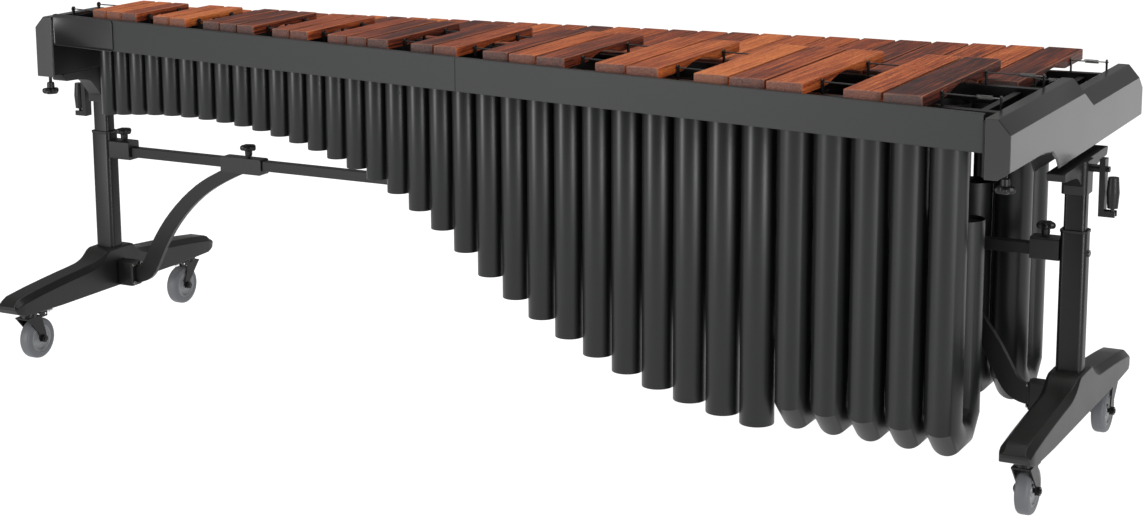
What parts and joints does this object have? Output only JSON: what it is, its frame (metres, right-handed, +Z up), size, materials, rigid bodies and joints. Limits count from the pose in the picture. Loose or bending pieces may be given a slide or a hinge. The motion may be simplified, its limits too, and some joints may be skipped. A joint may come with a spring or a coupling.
{
  "type": "concert marimba",
  "caption": "Concert marimba: wooden bars on cords over tuned tubes, on a height-adjustable rolling stand with cranks.",
  "frame": {"origin": "on the floor, under the middle of the instrument", "axes": "+X towards the low-pitched end, -Y towards the raised accidental row, +Z up"},
  "size_m": [2.683, 1.0241, 0.861],
  "materials": {
    "rosewood": "oiled, satin",
    "black_metal": "satin powder coat",
    "tube_metal": "satin dark anodised",
    "grey_fascia": "matte powder coat",
    "grey_panel": "matte powder coat",
    "cord": "braided",
    "steel": "zinc plated",
    "black_plastic": "moulded",
    "grey_tyre": "smooth",
    "chrome": "bright"
  },
  "bodies": {
    "stand": {"left_foot": "black_metal", "right_foot": "black_metal", "outer_columns": "black_metal", "column_bushes": "black_plastic", "lift_nut_pillars": "steel", "beam_sockets": "black_metal", "cross_beam": "black_metal", "beam_braces": "black_metal", "brace_mounts": "black_metal", "stand_bolts": "steel"},
    "playing_frame": {"accidental_bars_high": "rosewood", "accidental_bars_low": "rosewood", "accidental_cord_posts": "black_plastic", "accidental_rails": "black_metal", "accidental_resonators_bent": "tube_metal", "accidental_resonators_straight": "tube_metal", "blank_name_plate": "black_metal", "cord_springs": "steel", "cross_members": "black_metal", "frame_end_plates": "black_metal", "front_fascia": "grey_fascia", "inner_columns": "black_metal", "left_end_panel": "grey_panel", "lift_brackets": "black_metal", "natural_bars_high": "rosewood", "natural_bars_low": "rosewood", "natural_bars_middle": "rosewood", "natural_cord_posts": "black_plastic", "natural_rails": "black_metal", "natural_resonators_bent": "tube_metal", "natural_resonators_straight": "tube_metal", "rail_screws": "steel", "resonator_plugs": "black_plastic", "resonator_strips": "black_metal", "right_end_panel": "grey_panel", "suspension_cords": "cord"},
    "left_socket_knob": {"left_socket_knob": "black_plastic"},
    "left_brace_knob": {"left_brace_knob": "black_plastic"},
    "left_panel_knob": {"left_panel_knob": "black_plastic"},
    "left_lift_screw": {"left_lift_screw": "steel"},
    "left_crank": {"left_crank": "black_metal"},
    "left_crank_grip": {"left_crank_grip": "black_plastic"},
    "left_front_caster_fork": {"left_front_caster_fork": "black_metal"},
    "left_front_caster_wheel": {"left_front_caster_wheel": "grey_tyre"},
    "left_front_caster_brake": {"left_front_caster_brake": "chrome"},
    "left_rear_caster_fork": {"left_rear_caster_fork": "black_metal"},
    "left_rear_caster_wheel": {"left_rear_caster_wheel": "grey_tyre"},
    "left_rear_caster_brake": {"left_rear_caster_brake": "chrome"},
    "right_socket_knob": {"right_socket_knob": "black_plastic"},
    "right_brace_knob": {"right_brace_knob": "black_plastic"},
    "right_panel_knob": {"right_panel_knob": "black_plastic"},
    "right_lift_screw": {"right_lift_screw": "steel"},
    "right_crank": {"right_crank": "black_metal"},
    "right_crank_grip": {"right_crank_grip": "black_plastic"},
    "right_front_caster_fork": {"right_front_caster_fork": "black_metal"},
    "right_front_caster_wheel": {"right_front_caster_wheel": "grey_tyre"},
    "right_front_caster_brake": {"right_front_caster_brake": "chrome"},
    "right_rear_caster_fork": {"right_rear_caster_fork": "black_metal"},
    "right_rear_caster_wheel": {"right_rear_caster_wheel": "grey_tyre"},
    "right_rear_caster_brake": {"right_rear_caster_brake": "chrome"}
  },
  "joints": [
    {"name": "height_lift", "type": "slide", "parent": "stand", "child": "playing_frame", "axis": [0, 0, 1], "range_m": [-0.03, 0.12]},
    {"name": "left_crank_turn", "type": "hinge", "parent": "playing_frame", "child": "left_crank", "pos_m": [-1.28, 0.01, 0.652], "axis": [-1, 0, 0], "range_deg": [-600, 2200]},
    {"name": "left_lift_screw_turn", "type": "hinge", "parent": "playing_frame", "child": "left_lift_screw", "pos_m": [-1.25, 0.01, 0.5], "axis": [0, 0, 1], "range_deg": [-600, 2200]},
    {"name": "left_crank_grip_fold", "type": "hinge", "parent": "left_crank", "child": "left_crank_grip", "pos_m": [-1.325, 0.01, 0.56], "axis": [0, -1, 0], "range_deg": [0, 90]},
    {"name": "left_socket_knob_turn", "type": "hinge", "parent": "stand", "child": "left_socket_knob", "pos_m": [-1.188, 0.01, 0.5163], "axis": [0, 0, 1], "range_deg": [0, 720]},
    {"name": "left_brace_knob_turn", "type": "hinge", "parent": "stand", "child": "left_brace_knob", "pos_m": [-0.808, 0.01, 0.5163], "axis": [0, 0, 1], "range_deg": [0, 720]},
    {"name": "left_panel_knob_turn", "type": "hinge", "parent": "playing_frame", "child": "left_panel_knob", "pos_m": [-1.247, -0.188, 0.659], "axis": [0, 0, 1], "range_deg": [0, 720]},
    {"name": "left_front_caster_swivel", "type": "hinge", "parent": "stand", "child": "left_front_caster_fork", "pos_m": [-1.25, -0.308, 0.115], "axis": [0, 0, 1], "continuous": true},
    {"name": "left_front_caster_roll", "type": "hinge", "parent": "left_front_caster_fork", "child": "left_front_caster_wheel", "pos_m": [-1.25, -0.28, 0.05], "axis": [1, 0, 0], "continuous": true},
    {"name": "left_front_caster_brake_press", "type": "hinge", "parent": "left_front_caster_fork", "child": "left_front_caster_brake", "pos_m": [-1.25, -0.268, 0.111], "axis": [-1, 0, 0], "range_deg": [0, 10]},
    {"name": "left_rear_caster_swivel", "type": "hinge", "parent": "stand", "child": "left_rear_caster_fork", "pos_m": [-1.25, 0.328, 0.115], "axis": [0, 0, 1], "continuous": true},
    {"name": "left_rear_caster_roll", "type": "hinge", "parent": "left_rear_caster_fork", "child": "left_rear_caster_wheel", "pos_m": [-1.25, 0.3, 0.05], "axis": [1, 0, 0], "continuous": true},
    {"name": "left_rear_caster_brake_press", "type": "hinge", "parent": "left_rear_caster_fork", "child": "left_rear_caster_brake", "pos_m": [-1.25, 0.288, 0.111], "axis": [1, 0, 0], "range_deg": [0, 10]},
    {"name": "right_crank_turn", "type": "hinge", "parent": "playing_frame", "child": "right_crank", "pos_m": [1.286, 0.01, 0.652], "axis": [1, 0, 0], "range_deg": [-600, 2200]},
    {"name": "right_lift_screw_turn", "type": "hinge", "parent": "playing_frame", "child": "right_lift_screw", "pos_m": [1.256, 0.01, 0.5], "axis": [0, 0, 1], "range_deg": [-600, 2200]},
    {"name": "right_crank_grip_fold", "type": "hinge", "parent": "right_crank", "child": "right_crank_grip", "pos_m": [1.331, 0.01, 0.56], "axis": [0, 1, 0], "range_deg": [0, 90]},
    {"name": "right_socket_knob_turn", "type": "hinge", "parent": "stand", "child": "right_socket_knob", "pos_m": [1.194, 0.01, 0.5163], "axis": [0, 0, 1], "range_deg": [0, 720]},
    {"name": "right_brace_knob_turn", "type": "hinge", "parent": "stand", "child": "right_brace_knob", "pos_m": [0.814, 0.01, 0.5163], "axis": [0, 0, 1], "range_deg": [0, 720]},
    {"name": "right_panel_knob_turn", "type": "hinge", "parent": "playing_frame", "child": "right_panel_knob", "pos_m": [1.232, -0.42, 0.691], "axis": [0, 0, 1], "range_deg": [0, 720]},
    {"name": "right_front_caster_swivel", "type": "hinge", "parent": "stand", "child": "right_front_caster_fork", "pos_m": [1.256, -0.308, 0.115], "axis": [0, 0, 1], "continuous": true},
    {"name": "right_front_caster_roll", "type": "hinge", "parent": "right_front_caster_fork", "child": "right_front_caster_wheel", "pos_m": [1.256, -0.28, 0.05], "axis": [1, 0, 0], "continuous": true},
    {"name": "right_front_caster_brake_press", "type": "hinge", "parent": "right_front_caster_fork", "child": "right_front_caster_brake", "pos_m": [1.256, -0.268, 0.111], "axis": [-1, 0, 0], "range_deg": [0, 10]},
    {"name": "right_rear_caster_swivel", "type": "hinge", "parent": "stand", "child": "right_rear_caster_fork", "pos_m": [1.256, 0.328, 0.115], "axis": [0, 0, 1], "continuous": true},
    {"name": "right_rear_caster_roll", "type": "hinge", "parent": "right_rear_caster_fork", "child": "right_rear_caster_wheel", "pos_m": [1.256, 0.3, 0.05], "axis": [1, 0, 0], "continuous": true},
    {"name": "right_rear_caster_brake_press", "type": "hinge", "parent": "right_rear_caster_fork", "child": "right_rear_caster_brake", "pos_m": [1.256, 0.288, 0.111], "axis": [1, 0, 0], "range_deg": [0, 10]}
  ],
  "couplings": [
    {"joint": "left_crank_turn", "follows": "height_lift", "rad_per_m": 314.16},
    {"joint": "left_lift_screw_turn", "follows": "height_lift", "rad_per_m": 314.16},
    {"joint": "right_crank_turn", "follows": "height_lift", "rad_per_m": 314.16},
    {"joint": "right_lift_screw_turn", "follows": "height_lift", "rad_per_m": 314.16}
  ]
}
